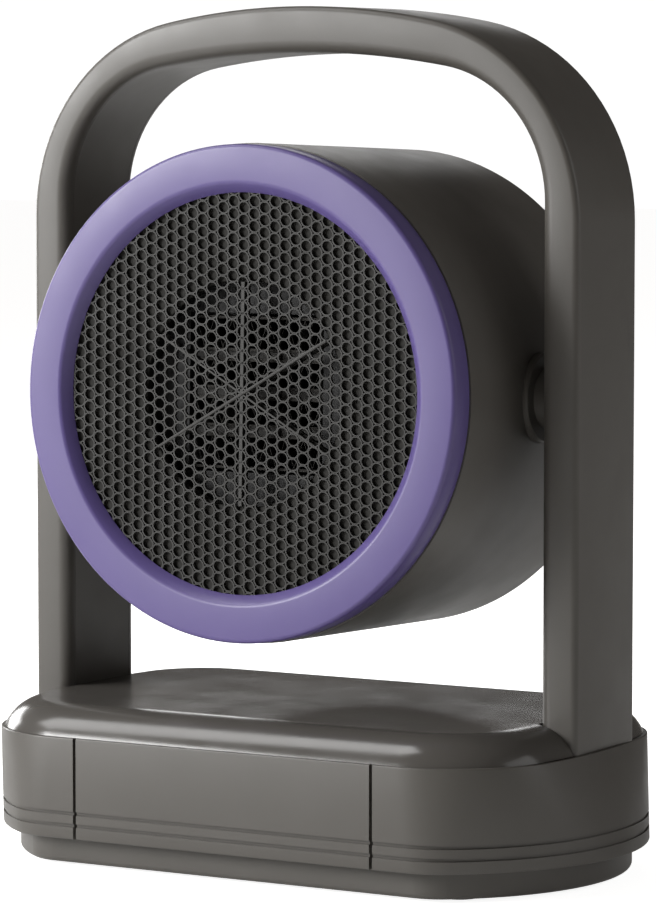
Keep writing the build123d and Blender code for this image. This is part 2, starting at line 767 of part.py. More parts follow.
def make_duct():
    outer_r = duct_in_r + duct_wall
    duct = rod(outer_r, (0, duct_front_y, 0), (0, duct_back_y, 0))
    duct += rod(duct_flange_r, (0, duct_front_y, 0), (0, duct_front_y + duct_flange_thick, 0))
    duct -= rod(duct_in_r, (0, duct_front_y - 1, 0), (0, duct_back_y + 1, 0))
    for a in range(4):
        x, z = polar(duct_flange_r - 4, 45 + 90 * a)
        duct -= rod(small_screw_r + plate_clear, (x, duct_front_y - 1, z), (x, duct_front_y + 3, z))
    pad = box_between((-cutout_r, core_front_y, outer_r - 1.2),
                      (cutout_r, core_front_y + 2 * cutout_r, outer_r + 1))
    return duct + pad - rod(duct_in_r, (0, duct_front_y - 1, 0), (0, duct_back_y + 1, 0))


def duct_screws():
    y = duct_front_y + duct_flange_thick
    places = [polar(duct_flange_r - 4, 45 + 90 * a) for a in range(4)]
    return [screw((x, y + 1.2, z), (x, y - 3.2, z), r=small_screw_r, head_r=small_head_r, head_h=1.2)
            for x, z in places]


def core_bands():
    """Heights of the element's rows: stones between plates, fins between those."""
    step = 2 * core_half / core_rows
    return [(-core_half + i * step) for i in range(core_rows + 1)]


def make_core_frame():
    frame = rod(duct_in_r - fit_gap, (0, core_front_y, 0), (0, core_front_y + core_depth, 0))
    half_w, half_h = core_half + core_side_clear, core_half + core_end_clear
    return frame - box_between((-half_w, core_front_y - 1, -half_h),
                               (half_w, core_front_y + core_depth + 1, half_h))


def make_core_plates():
    """Contact plates on both sides of every row of fins."""
    plates = []
    for i, z in enumerate(core_bands()):
        sides = [s for s in (-1, 1) if 0 < i < core_rows or (s > 0) == (i == 0)]
        for s in sides:
            near = z + s * stone_thick / 2 if 0 < i < core_rows else z - s * (end_plate_sink - plate_thick)
            ends = sorted((near, near + s * plate_thick))
            plates.append(box_between((-core_half, core_front_y + 1, ends[0]),
                                      (core_half, core_front_y + core_depth - 1, ends[1])))
    return plates


def make_core_stones():
    stones = []
    long = 2 * core_half / stone_count
    for z in core_bands()[1:-1]:
        for i in range(stone_count):
            x = -core_half + (i + 0.5) * long
            stone = Box(long - stone_gap, core_depth - stone_margin, stone_thick)
            stones.append(Pos(x, core_front_y + core_depth / 2, z) * stone)
    return stones


def make_core_fins():
    """One folded strip between each pair of plates."""
    bands = core_bands()
    fins = []
    for i in range(core_rows):
        inner, end = stone_thick / 2 + plate_thick, 2 * plate_thick - end_plate_sink
        low = bands[i] + (inner if i > 0 else end)
        high = bands[i + 1] - (inner if i + 1 < core_rows else end)
        width = 2 * core_half - 1
        step = width / fin_folds
        mid = [(-width / 2 + k * step, low + fin_sheet / 2 if k % 2 else high - fin_sheet / 2)
               for k in range(fin_folds + 1)]
        top = [(x, z + fin_sheet / 2) for x, z in mid]
        bottom = [(x, z - fin_sheet / 2) for x, z in reversed(mid)]
        plane = Plane((0, core_front_y + 1.5, 0), x_dir=(1, 0, 0), z_dir=(0, -1, 0))
        face = make_face(Polyline(top + bottom, close=True))
        fins.append(extrude(plane * face, -(core_depth - 3)))
    return fins


def make_cutout():
    z = duct_in_r + duct_wall + 1
    y = core_front_y + cutout_r
    body = rod(cutout_r, (0, y, z), (0, y, z + cutout_h))
    for x in (-3, 3):
        body += box_between((x - 1, y - 0.4, z + cutout_h - 0.2), (x + 1, y + 0.4, z + cutout_h + 6))
    return body


def blade_section(r, chord, angle):
    """Thin section of a blade with round edges at a radius, turned to its pitch angle."""
    plane = Plane((r, fan_front_y + fan_hub_len / 2, 0), x_dir=(0, 1, 0), z_dir=(1, 0, 0))
    return plane * (Rot(0, 0, angle) * SlotOverall(chord, blade_thick))


def make_impeller():
    blade = loft([blade_section(fan_hub_r - 1.5, blade_chord_root, blade_root_angle),
                  blade_section(duct_in_r - blade_tip_gap, blade_chord_tip, blade_tip_angle)])
    hub = rod(fan_hub_r, (0, fan_front_y, 0), (0, fan_front_y + fan_hub_len, 0))
    hub = fillet(hub.edges().filter_by_position(Axis.Y, fan_front_y, fan_front_y), 3)
    fan = hub
    for i in range(blade_count):
        fan += Rot(0, i * 360 / blade_count, 0) * blade
    return fan - rod(shaft_r, (0, fan_front_y + 2, 0), (0, fan_front_y + fan_hub_len + 1, 0))


def make_shaft():
    return rod(shaft_r, (0, fan_front_y + 2, 0), (0, motor_front_y + 8 - slide_gap, 0))


def make_motor():
    front = motor_front_y
    can = rod(motor_r, (0, front, 0), (0, front + motor_len, 0))
    can = fillet(can.edges().filter_by_position(Axis.Y, front + motor_len, front + motor_len), 2)
    can += rod(4, (0, front - 2, 0), (0, front, 0))
    can += rod(5, (0, front + motor_len, 0), (0, front + motor_len + 2, 0))
    return can - rod(shaft_r + shaft_clear, (0, front - 3, 0), (0, front + 8, 0))


def make_mount():
    """Ring on the back of the duct with three arms to the motor."""
    outer_r = duct_in_r + duct_wall + mount_border
    ring = rod(outer_r, (0, duct_back_y - 4, 0), (0, motor_front_y, 0))
    ring -= rod(outer_r - mount_skin, (0, duct_back_y - 5, 0), (0, duct_back_y, 0))
    ring -= rod(outer_r - mount_ring_wall, (0, duct_back_y - 5, 0), (0, motor_front_y + 1, 0))
    plate = rod(motor_r, (0, duct_back_y, 0), (0, motor_front_y, 0))
    for a in range(3):
        arm = box_between((6, duct_back_y, -mount_arm_width / 2),
                          (outer_r - 1, motor_front_y, mount_arm_width / 2))
        plate += Rot(0, 30 + 120 * a, 0) * arm
    return ring + plate - rod(mount_hole_r, (0, duct_back_y - 1, 0), (0, motor_front_y + 1, 0))


def make_rear_grille():
    """Inlet cover with level slots, each as long as the round of the cover lets it be."""
    front = drum_back_y - inlet_thick
    disc = rod(inlet_r, (0, front, 0), (0, drum_back_y, 0))
    disc = chamfer(disc.edges().filter_by_position(Axis.Y, drum_back_y, drum_back_y), edge_chamfer)
    reach = inlet_r - inlet_margin
    slots = Sketch()
    for i in range(inlet_slots):
        z = (i - (inlet_slots - 1) / 2) * inlet_pitch
        if abs(z) < reach - inlet_slot_w:
            half = math.sqrt(reach ** 2 - (abs(z) + inlet_slot_w / 2) ** 2)
            slots += Pos(0, z) * SlotOverall(2 * half, inlet_slot_w)
    plane = Plane((0, front - 1, 0), x_dir=(1, 0, 0), z_dir=(0, 1, 0))
    disc -= extrude(plane * slots, inlet_thick + 2)
    disc += box_between((-rear_bar_half, front, -reach - 1),
                        (rear_bar_half, drum_back_y - rear_bar_sink, reach + 1))
    for x, z in rear_screw_places():
        disc -= rod(screw_r + fit_gap, (x, front - 1, z), (x, drum_back_y + 1, z))
    return disc


def rear_screws():
    return [screw((x, drum_back_y + pan_head_h, z), (x, drum_back_y - inlet_thick - 6, z),
                  head_r=rear_head_r, head_h=pan_head_h) for x, z in rear_screw_places()]


def make_hub(side):
    outer_x = arch_inner_half - slide_gap - washer_thick
    collar_x = hub_flat_x + hub_collar_h
    hub = rod(hub_collar_r, (side * hub_flat_x, 0, 0), (side * collar_x, 0, 0))
    hub = chamfer(hub.edges().filter_by_position(Axis.X, side * collar_x, side * collar_x), edge_chamfer)
    hub += rod(hub_neck_r, (side * hub_flat_x, 0, 0), (side * outer_x, 0, 0))
    hub += rod(hub_spigot_r, (side * (pad_inner_x - nut_thick - 1), 0, 0), (side * hub_flat_x, 0, 0))
    return hub - rod(pin_r + pin_clear, (side * (pad_inner_x - 8), 0, 0), (side * (outer_x + 1), 0, 0))


def make_nut(side):
    face = pad_inner_x - plate_clear
    ring = Plane((side * face, 0, 0), z_dir=(-side, 0, 0)) * extrude(RegularPolygon(nut_r, 6), nut_thick)
    return ring - rod(hub_spigot_r + 0.02, (side * (face - nut_thick - 1), 0, 0), (side * (face + 1), 0, 0))


def make_washer(side):
    outer_x = arch_inner_half - slide_gap
    ring = rod(hub_neck_r - washer_step, (side * (outer_x - washer_thick), 0, 0), (side * outer_x, 0, 0))
    return ring - rod(pin_r + plate_clear, (side * (outer_x - washer_thick - 1), 0, 0),
                      (side * (outer_x + 1), 0, 0))


def make_board():
    z = tray_top_z + board_lift
    board = Pos(board_x, 0, z + board_size[2] / 2) * Box(*board_size)
    for x, y in board_posts():
        board -= rod(screw_r + plate_clear, (x, y, z - 1), (x, y, z + 3))
    return board


def board_top():
    return tray_top_z + board_lift + board_size[2]


def board_screws():
    z = board_top()
    return [screw((x, y, z + pan_head_h), (x, y, z - board_screw_len), r=screw_r - screw_bite,
                  head_r=middle_head_r, head_h=pan_head_h) for x, y in board_posts()]


def make_relay():
    base = board_top()
    dx, y = relay_place
    body = Pos(board_x + dx, y, base + relay_size[2] / 2) * Box(*relay_size)
    return fillet(body.edges().filter_by(Axis.Z), relay_round)


def make_terminals():
    base = board_top()
    middle, y = board_x + terminal_place[0], terminal_place[1]
    top = base + terminal_size[2]
    body = Pos(middle, y, base + terminal_size[2] / 2) * Box(*terminal_size)
    for i in range(terminal_count):
        x = middle + (i - (terminal_count - 1) / 2) * terminal_pitch
        body -= rod(terminal_hole_r, (x, y, top - terminal_hole_depth), (x, y, top + 1))
    return body


def make_rocker_housing():
    w, h = rocker_size
    back = field_y
    body = box_between((rocker_x - w / 2, back - rocker_depth, rocker_z - h / 2),
                       (rocker_x + w / 2, back, rocker_z + h / 2))
    rim_w, rim_h = w / 2 + rocker_border, h / 2 + rocker_border
    body += box_between((rocker_x - rim_w, back, rocker_z - rim_h),
                        (rocker_x + rim_w, back + rocker_flange, rocker_z + rim_h))
    in_w, in_h = w / 2 - rocker_wall, h / 2 - rocker_wall
    body -= box_between((rocker_x - in_w, back - rocker_cavity, rocker_z - in_h),
                        (rocker_x + in_w, back + rocker_flange + 1, rocker_z + in_h))
    body -= rod(rocker_stud_r + shaft_clear, (rocker_x, rocker_axis_y, rocker_z - h / 2 - 0.1),
                (rocker_x, rocker_axis_y, rocker_z + h / 2 + 0.1))
    thick, reach, width = rocker_tag
    for i in (-1, 0, 1):
        x = rocker_x + i * rocker_tag_pitch
        body += box_between((x - thick / 2, back - rocker_depth - reach, rocker_z - width / 2),
                            (x + thick / 2, back - rocker_depth, rocker_z + width / 2))
    return body


def make_rocker():
    """Rocker key with a shallow V face and round ends, on two studs, resting with one half pressed in."""
    swing = rocker_size[0] / 2 - rocker_wall - slide_gap
    rise = swing * math.tan(math.radians(rocker_throw))
    face = field_y + rocker_flange
    foot = swing - rocker_key_taper
    outline = [(-swing, face + rise), (0, face), (swing, face + rise), (foot, face - rocker_key_end),
               (0, face - rocker_key_middle), (-foot, face - rocker_key_end)]
    height = rocker_size[1] - 2 * rocker_wall - 2 * slide_gap
    low, high = rocker_z - height / 2, rocker_z + height / 2
    key = extrude(make_face(Polyline([(rocker_x + x, y) for x, y in outline], close=True)), height)
    key = Pos(0, 0, low) * key & rod(swing, (rocker_x, rocker_axis_y, low), (rocker_x, rocker_axis_y, high))
    key += rod(rocker_stud_r, (rocker_x, rocker_axis_y, low - 1), (rocker_x, rocker_axis_y, high + 1))
    hinge = Axis((rocker_x, rocker_axis_y, 0), (0, 0, 1))
    return key.rotate(hinge, -rocker_throw)


def make_inlet():
    x, z, back = inlet_bush_x, inlet_bush_z, field_y
    bush = rod(inlet_bush_r, (x, back - inlet_bush_depth, z), (x, back, z))
    bush += rod(inlet_bush_r + inlet_bush_border, (x, back, z), (x, back + inlet_bush_flange, z))
    face = back + inlet_bush_flange
    bush = fillet(bush.edges().filter_by_position(Axis.Y, face, face), edge_round)
    return bush - rod(inlet_hole_r, (x, back - inlet_bush_depth - 1, z), (x, back + inlet_bush_flange + 1, z))


def make_tip_switch():
    w, d, h = tip_body
    body = box_between((-w / 2, tip_y - d / 2, tray_top_z), (w / 2, tip_y + d / 2, tray_top_z + h))
    chamber = collar_z() + plunger_collar_h + 1.2
    body -= rod(plunger_collar_r + slide_gap, (0, tip_y, tray_top_z - 1), (0, tip_y, chamber))
    return body - rod(plunger_r + slide_gap, (0, tip_y, chamber - 1), (0, tip_y, chamber + 4))


def collar_z():
    """Underside of the plunger's collar, which stops on the tray when the base is lifted."""
    return tray_top_z + plunger_travel + slide_gap


def make_plunger():
    low, collar = plunger_tip_z, collar_z()
    stem = rod(plunger_r, (0, tip_y, low), (0, tip_y, collar + plunger_collar_h + 3))
    stem = fillet(stem.edges().filter_by_position(Axis.Z, low, low), 1)
    return stem + rod(plunger_collar_r, (0, tip_y, collar), (0, tip_y, collar + plunger_collar_h))


def save(name, shape):
    shape = Compound(children=list(shape)) if isinstance(shape, list) else shape
    export_step(shape, f"parts/{name}.step")


def save_head(name, shape):
    """Head pieces are drawn about the pivot and then hung in the arch at the rest tilt."""
    hang = Pos(0, arch_y, pivot_z) * Rot(-rest_tilt, 0, 0)
    if isinstance(shape, list):
        save(name, [hang * piece for piece in shape])
    else:
        save(name, hang * shape)


def main():
    os.makedirs("parts", exist_ok=True)
    save("base_tray", make_tray())
    save("base_skirt", make_skirt())
    save("front_panel", make_panel())
    save("base_cover", make_cover())
    save("rubber_feet", make_feet())
    save("cover_screws", cover_screws())
    save("arch_screws", arch_screws())
    save("arch_shell", make_arch_shell())
    save("arch_liner", make_liner())
    save("bracket_screws", bracket_screws())
    for name, side in (("left", -1), ("right", 1)):
        save(f"pivot_bracket_{name}", make_bracket(side))
        save(f"pivot_pin_{name}", make_pin(side))
        save_head(f"pivot_hub_{name}", make_hub(side))
        save_head(f"hub_nut_{name}", make_nut(side))
        save_head(f"tilt_washer_{name}", make_washer(side))
    save("control_board", make_board())
    save("board_screws", board_screws())
    save("relay", make_relay())
    save("terminal_block", make_terminals())
    save("rocker_housing", make_rocker_housing())
    save("power_rocker", make_rocker())
    save("cord_inlet", make_inlet())
    save("tip_switch", make_tip_switch())
    save("tip_plunger", make_plunger())
    save_head("drum_shell", make_drum())
    save_head("front_bezel", make_ring())
    save_head("front_grille", make_grille())
    save_head("baffle_plate", make_baffle())
    save_head("retaining_ring", make_retainer())
    save_head("ring_screws", ring_screws())
    save_head("heater_duct", make_duct())
    save_head("duct_screws", duct_screws())
    save_head("ptc_frame", make_core_frame())
    save_head("ptc_plates", make_core_plates())
    save_head("ptc_stones", make_core_stones())
    save_head("ptc_fins", make_core_fins())
    save_head("thermal_cutout", make_cutout())
    save_head("fan_impeller", make_impeller())
    save_head("motor_shaft", make_shaft())
    save_head("fan_motor", make_motor())
    save_head("motor_mount", make_mount())
    save_head("rear_grille", make_rear_grille())
    save_head("rear_screws", rear_screws())


main()
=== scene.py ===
# %% [markdown]
# # A desk fan heater, dressed for the camera
# A round head hangs between the legs of a carrying arch on a domed base. The measured model of the
# heater is loaded first as a fixed frame. Every piece made here takes its place from that frame, in
# metres: the front faces -Y, +X is the user's right, +Z is up, and the origin is on the floor.

# %% Load the frame
import json
import math
import bpy
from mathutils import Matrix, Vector


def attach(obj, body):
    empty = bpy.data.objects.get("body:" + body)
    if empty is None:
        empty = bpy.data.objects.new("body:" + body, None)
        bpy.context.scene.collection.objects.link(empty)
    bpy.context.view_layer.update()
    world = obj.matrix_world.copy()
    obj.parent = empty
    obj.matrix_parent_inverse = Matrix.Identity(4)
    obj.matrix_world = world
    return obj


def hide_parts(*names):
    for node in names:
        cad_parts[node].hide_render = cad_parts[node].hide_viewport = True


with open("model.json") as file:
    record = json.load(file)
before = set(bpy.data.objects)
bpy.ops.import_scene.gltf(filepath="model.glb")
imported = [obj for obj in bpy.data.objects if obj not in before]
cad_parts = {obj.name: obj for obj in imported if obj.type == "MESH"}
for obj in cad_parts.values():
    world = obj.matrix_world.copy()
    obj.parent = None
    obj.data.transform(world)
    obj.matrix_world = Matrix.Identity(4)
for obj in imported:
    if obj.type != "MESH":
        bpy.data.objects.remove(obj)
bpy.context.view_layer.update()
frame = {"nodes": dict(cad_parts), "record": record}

MM = 0.001
SAME = 1e-6  # points nearer to each other than this, in metres, are one point
nodes = frame["nodes"]

# %% [markdown]
# ## Camera
# The photograph was taken from the heater's front right corner, a little above it, with a long lens:
# upright edges stay parallel and the far leg is hardly smaller than the near one. The turn and rise
# come from where the corners of the base and the rim of the head lie in the picture. A target point
# and a distance are easier to adjust than a free camera, so the camera is placed from those.

# %% Camera
camera_turn = math.radians(30.36)
camera_rise = math.radians(4.60)
camera_reach = 1378.6 * MM
aim_right, aim_height = 1.93, 128.53
aim = Vector((math.cos(camera_turn) * aim_right, math.sin(camera_turn) * aim_right, aim_height)) * MM
back = Vector((math.sin(camera_turn) * math.cos(camera_rise),
               -math.cos(camera_turn) * math.cos(camera_rise), math.sin(camera_rise)))
bpy.ops.object.camera_add(location=aim + back * camera_reach,
                          rotation=(math.pi / 2 - camera_rise, 0, camera_turn))
camera = bpy.context.object
camera.name = "front_right_camera"
camera.data.lens = 171.6
camera.data.clip_end = 50
bpy.context.scene.camera = camera
bpy.context.scene.view_settings.view_transform = "Standard"
print("camera at", tuple(round(v, 3) for v in camera.location))

# %% [markdown]
# ## Floor and light
# The heater stands in a plain white studio. The floor is a wide flat sheet, bright enough to lose its
# edge against the white surroundings. A soft key lamp at the front left gives the front faces their
# light, and one overhead does the same for the upper sides. Two lamps further round on the left give
# the cover its bright shoulder and the crescent behind the head. A weak fill on the right keeps the
# sides there darker than the front, but not black.

# %% Floor
bpy.ops.object.select_all(action="DESELECT")
bpy.ops.mesh.primitive_plane_add(size=16)
floor = bpy.context.object
floor.name = "studio_floor"
paper = bpy.data.materials.new("studio_paper")
paper.use_nodes = True
shader = paper.node_tree.nodes["Principled BSDF"]
shader.inputs["Base Color"].default_value = (0.82, 0.82, 0.81, 1)
shader.inputs["Roughness"].default_value = 0.9
shader.inputs["Emission Color"].default_value = (1, 1, 1, 1)
seen = paper.node_tree.nodes.new("ShaderNodeLightPath")
glow = paper.node_tree.nodes.new("ShaderNodeMath")
glow.operation = "MULTIPLY_ADD"
glow_for_camera, glow_for_all = 0.74, 0.16
glow.inputs[1].default_value, glow.inputs[2].default_value = glow_for_camera, glow_for_all
paper.node_tree.links.new(seen.outputs["Is Camera Ray"], glow.inputs[0])
paper.node_tree.links.new(glow.outputs["Value"], shader.inputs["Emission Strength"])
floor.data.materials.append(paper)

# %% Surroundings
studio = bpy.data.worlds.new("white_studio")
bpy.context.scene.world = studio
studio.use_nodes = True
tree = studio.node_tree
sky = tree.nodes["Background"]
sky.inputs["Color"].default_value = (1.0, 0.92, 0.84, 1)
sky.inputs["Strength"].default_value = 0.10
plain = tree.nodes.new("ShaderNodeBackground")
plain.inputs["Color"].default_value = (1, 1, 1, 1)
plain.inputs["Strength"].default_value = 1.05
ray = tree.nodes.new("ShaderNodeLightPath")
pick_sky = tree.nodes.new("ShaderNodeMixShader")
tree.links.new(ray.outputs["Is Camera Ray"], pick_sky.inputs["Fac"])
tree.links.new(sky.outputs["Background"], pick_sky.inputs[1])
tree.links.new(plain.outputs["Background"], pick_sky.inputs[2])
tree.links.new(pick_sky.outputs["Shader"], tree.nodes["World Output"].inputs["Surface"])


# %% Lamps
lamp_aim = Vector((0, 0, 0.14))


def soft_lamp(name, place, width, height, watts):
    """Rectangular soft lamp at a place in metres, facing the middle of the heater."""
    turn = (lamp_aim - Vector(place)).to_track_quat("-Z", "Y").to_euler()
    bpy.ops.object.light_add(type="AREA", location=place, rotation=turn)
    lamp = bpy.context.object
    lamp.name = lamp.data.name = name
    lamp.data.shape = "RECTANGLE"
    lamp.data.size, lamp.data.size_y, lamp.data.energy = width, height, watts
    return lamp


soft_lamp("key_lamp", (-0.78, -0.88, 0.50), 0.5, 0.5, 17)
soft_lamp("overhead_left_lamp", (-1.00, -0.45, 1.55), 0.7, 1.05, 13.5)
soft_lamp("back_left_lamp", (-0.67, 1.11, 0.54), 0.5, 0.20, 0.9)
soft_lamp("low_left_lamp", (-1.20, 0.46, 0.33), 0.6, 0.36, 6)
soft_lamp("right_fill_lamp", (1.30, 0.42, 0.62), 0.9, 0.9, 2.8)


# %% [markdown]
# ## Helpers for modelling
# Every operator acts on what is selected, so a step starts by selecting just what it changes. A piece
# that is turned or bent from a line starts as one point, which is drawn out with the extrude tool and
# swung round a centre with the spin tool, as a draughtsman draws with a rule and compasses. Square
# and round tools are plain blocks and rods, given in millimetres.

# %% Selecting and drawing
def only(*pieces):
    """Select these pieces and nothing else, the first one active."""
    bpy.ops.object.select_all(action="DESELECT")
    for piece in pieces:
        piece.select_set(True)
    bpy.context.view_layer.objects.active = pieces[0]


def settle():
    """Apply place, turn and scale of what is selected, which leaves it at the origin."""
    bpy.ops.object.transform_apply(location=True, rotation=True, scale=True)


def start_line(name, point):
    """A piece that is one point, selected in edit mode, ready to be drawn out."""
    bpy.ops.object.select_all(action="DESELECT")
    bpy.ops.mesh.primitive_plane_add(size=MM)
    piece = bpy.context.object
    piece.name = piece.data.name = name
    bpy.ops.object.mode_set(mode="EDIT")
    bpy.ops.mesh.select_mode(type="VERT")
    bpy.ops.mesh.select_all(action="SELECT")
    bpy.ops.mesh.merge(type="CENTER")
    bpy.ops.transform.translate(value=point)
    return piece


def draw_by(step):
    """Draw a straight run from the selected point by a step in metres."""
    bpy.ops.mesh.extrude_region_move(TRANSFORM_OT_translate={"value": step})


def swing(centre, degrees, steps, axis=(0, 1, 0)):
    """Draw an arc from the selected point about a centre. Seen from the front, plus turns left."""
    bpy.ops.mesh.spin(steps=steps, angle=math.radians(degrees), center=Vector(centre) * MM, axis=axis)


def draw_chain(name, points):
    """Closed line of straight runs through points, given in millimetres in the XY plane."""
    places = [Vector((x, y, 0)) * MM for x, y in points]
    piece = start_line(name, places[0])
    for here, there in zip(places, places[1:]):
        draw_by(there - here)
    bpy.ops.object.mode_set(mode="OBJECT")
    for vertex in piece.data.vertices:
        vertex.select = min((vertex.co - end).length for end in (places[0], places[-1])) < SAME
    bpy.ops.object.mode_set(mode="EDIT")
    bpy.ops.mesh.edge_face_add()
    return piece


def pick(piece, kind, test):
    """In edit mode, select only the vertices, edges or polygons that pass a test, and count them."""
    bpy.ops.mesh.select_mode(type={"vertices": "VERT", "edges": "EDGE", "polygons": "FACE"}[kind])
    bpy.ops.mesh.select_all(action="DESELECT")
    bpy.ops.object.mode_set(mode="OBJECT")
    mesh = piece.data
    count = 0
    for item in getattr(mesh, kind):
        item.select = bool(test(mesh, item))
        count += item.select
    bpy.ops.object.mode_set(mode="EDIT")
    return count


def round_corner(piece, x, y, radius, steps):
    """Round one corner of a drawn line."""
    spot = Vector((x, y, 0)) * MM
    pick(piece, "vertices", lambda mesh, vertex: (vertex.co - spot).length < SAME)
    bpy.ops.mesh.bevel(offset=radius * MM, segments=steps, affect="VERTICES")


def turn_on_lathe(piece, steps):
    """Spin the closed line about the head's long axis and close the seam."""
    bpy.ops.mesh.select_mode(type="VERT")
    bpy.ops.mesh.select_all(action="SELECT")
    bpy.ops.mesh.spin(steps=steps, angle=2 * math.pi, center=(0, 0, 0), axis=(0, 1, 0))
    bpy.ops.mesh.select_all(action="SELECT")
    bpy.ops.mesh.remove_doubles(threshold=SAME)
    bpy.ops.mesh.normals_make_consistent(inside=False)
    bpy.ops.object.mode_set(mode="OBJECT")


def smooth(piece, degrees=30):
    """Shade a piece smooth, with a crease wherever its faces meet at more than this angle."""
    only(piece)
    bpy.ops.object.shade_smooth_by_angle(angle=math.radians(degrees))


# %% Blocks, rods and cuts
def block(low, high):
    """Box between two corners given in millimetres."""
    bpy.ops.object.select_all(action="DESELECT")
    bpy.ops.mesh.primitive_cube_add(size=1, location=[(a + b) / 2 * MM for a, b in zip(low, high)])
    box = bpy.context.object
    box.scale = [(b - a) * MM for a, b in zip(low, high)]
    settle()
    return box


def rod(radius, length, centre):
    """Cylinder along Y about a centre, all in millimetres."""
    bpy.ops.object.select_all(action="DESELECT")
    bpy.ops.mesh.primitive_cylinder_add(vertices=48, radius=radius * MM, depth=length * MM,
                                        rotation=(math.pi / 2, 0, 0), location=Vector(centre) * MM)
    settle()
    return bpy.context.object


def sink(depth):
    """Push the selected faces in by a depth in millimetres, which leaves walls at their edges."""
    bpy.ops.mesh.extrude_region_shrink_fatten(MESH_OT_extrude_region={},
                                              TRANSFORM_OT_shrink_fatten={"value": -depth * MM})


def combine(piece, tool, operation):
    """Boolean of a piece with a tool, which is used up."""
    only(piece)
    rule = piece.modifiers.new("combine", "BOOLEAN")
    rule.operation, rule.solver, rule.object = operation, "EXACT", tool
    bpy.ops.object.modifier_apply(modifier="combine")
    only(tool)
    bpy.ops.object.delete()


def cut_box(piece, low, high):
    """Take the box between two corners out of a piece."""
    combine(piece, block(low, high), "DIFFERENCE")


# %% [markdown]
# ## Hanging the head
# The head is drawn about its own centre, level, because round pieces are easy there. At rest the real
# head leans back by a degree or two on its pins, so each finished piece of the head gets that lean
# and the height of the pins, and both are then applied, which leaves the object at the origin.

# %% Hanging the head
rest_lean = math.radians(-1.7)
pin_place = Vector((0, 3.7, 149.3)) * MM


def hang_head(piece):
    """Lean a piece of the head and lift it to the pins."""
    only(piece)
    piece.rotation_euler = (rest_lean, 0, 0)
    piece.location = pin_place
    settle()


def put_on(piece, body, slot, *stands_for):
    """Ride a body and take the place of the plain nodes, which are hidden. The slot, which would name
    the finish, is not used.
    """
    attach(piece, body)
    if stands_for:
        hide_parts(*stands_for)
    low = [min(v.co[i] for v in piece.data.vertices) * 1000 for i in range(3)]
    high = [max(v.co[i] for v in piece.data.vertices) * 1000 for i in range(3)]
    print(piece.name, len(piece.data.polygons), "faces, from", [round(v, 1) for v in low],
          "to", [round(v, 1) for v in high], "mm")


# %% [markdown]
# ## Finishes
# Moulded plastic is never one flat colour: the tool it came from leaves a fine grain, the gloss
# changes slightly across a face, and the pigment clouds a little. Each plastic here is built from the
# same three noises at different sizes. They read the object's own coordinates, so the grain is
# as fine on a screw as on the arch.

# %% Moulded plastic
def moulded_plastic(name, colour, gloss, grain=0.35, grain_size=0.45, cloud=0.06):
    """Plastic with pigment clouds, uneven gloss and a fine mould grain of a size in millimetres."""
    finish = bpy.data.materials.new(name)
    finish.use_nodes = True
    links, tools = finish.node_tree.links, finish.node_tree.nodes
    shader = tools["Principled BSDF"]
    place = tools.new("ShaderNodeTexCoord")

    def noise(scale, detail):
        node = tools.new("ShaderNodeTexNoise")
        node.inputs["Scale"].default_value = scale
        node.inputs["Detail"].default_value = detail
        links.new(place.outputs["Object"], node.inputs["Vector"])
        return node

    clouds = tools.new("ShaderNodeMix")
    clouds.data_type = "RGBA"
    clouds.inputs["A"].default_value = (*[c * (1 - cloud) for c in colour], 1)
    clouds.inputs["B"].default_value = (*[c * (1 + cloud) for c in colour], 1)
    links.new(noise(28, 3).outputs["Fac"], clouds.inputs["Factor"])
    links.new(clouds.outputs["Result"], shader.inputs["Base Color"])
    spread = tools.new("ShaderNodeMapRange")
    spread.inputs["From Min"].default_value = 0.3
    spread.inputs["From Max"].default_value = 0.7
    spread.inputs["To Min"].default_value = gloss - 0.04
    spread.inputs["To Max"].default_value = gloss + 0.04
    links.new(noise(60, 4).outputs["Fac"], spread.inputs["Value"])
    links.new(spread.outputs["Result"], shader.inputs["Roughness"])
    bump = tools.new("ShaderNodeBump")
    bump.inputs["Strength"].default_value = grain
    bump.inputs["Distance"].default_value = 0.03 * MM
    links.new(noise(1 / (grain_size * MM), 3).outputs["Fac"], bump.inputs["Height"])
    links.new(bump.outputs["Normal"], shader.inputs["Normal"])
    return finish


taupe_plastic = moulded_plastic("taupe_body_plastic", (0.078, 0.072, 0.064), 0.42)
cover_plastic = moulded_plastic("taupe_cover_plastic", (0.072, 0.067, 0.061), 0.20,
                                grain=0.03, cloud=0.03)
plum_plastic = moulded_plastic("plum_ring_plastic", (0.092, 0.068, 0.206), 0.40)
grille_plastic = moulded_plastic("honeycomb_plastic", (0.0150, 0.0140, 0.0118), 0.6, grain=0.25)
# The baffle is darker than its plastic: painted shade for the floors of the honeycomb's cells, which are
# shallower here than on the real grille. Its weak reflection keeps those floors dark as well.
baffle_plastic_painted_shade = moulded_plastic("baffle_plastic_painted_shade", (0.0165, 0.0157, 0.0134), 0.7, grain=0.25)
baffle_plastic_painted_shade.node_tree.nodes["Principled BSDF"].inputs["Specular IOR Level"].default_value = 0.25
dark_plastic = moulded_plastic("dark_switch_plastic", (0.012, 0.012, 0.012), 0.42)
heat_plastic = moulded_plastic("heat_proof_plastic", (0.012, 0.0115, 0.011), 0.6)
white_nylon = moulded_plastic("white_nylon", (0.62, 0.60, 0.55), 0.45)
foot_rubber = moulded_plastic("foot_rubber", (0.015, 0.015, 0.015), 0.78, grain=0.6, grain_size=0.3)


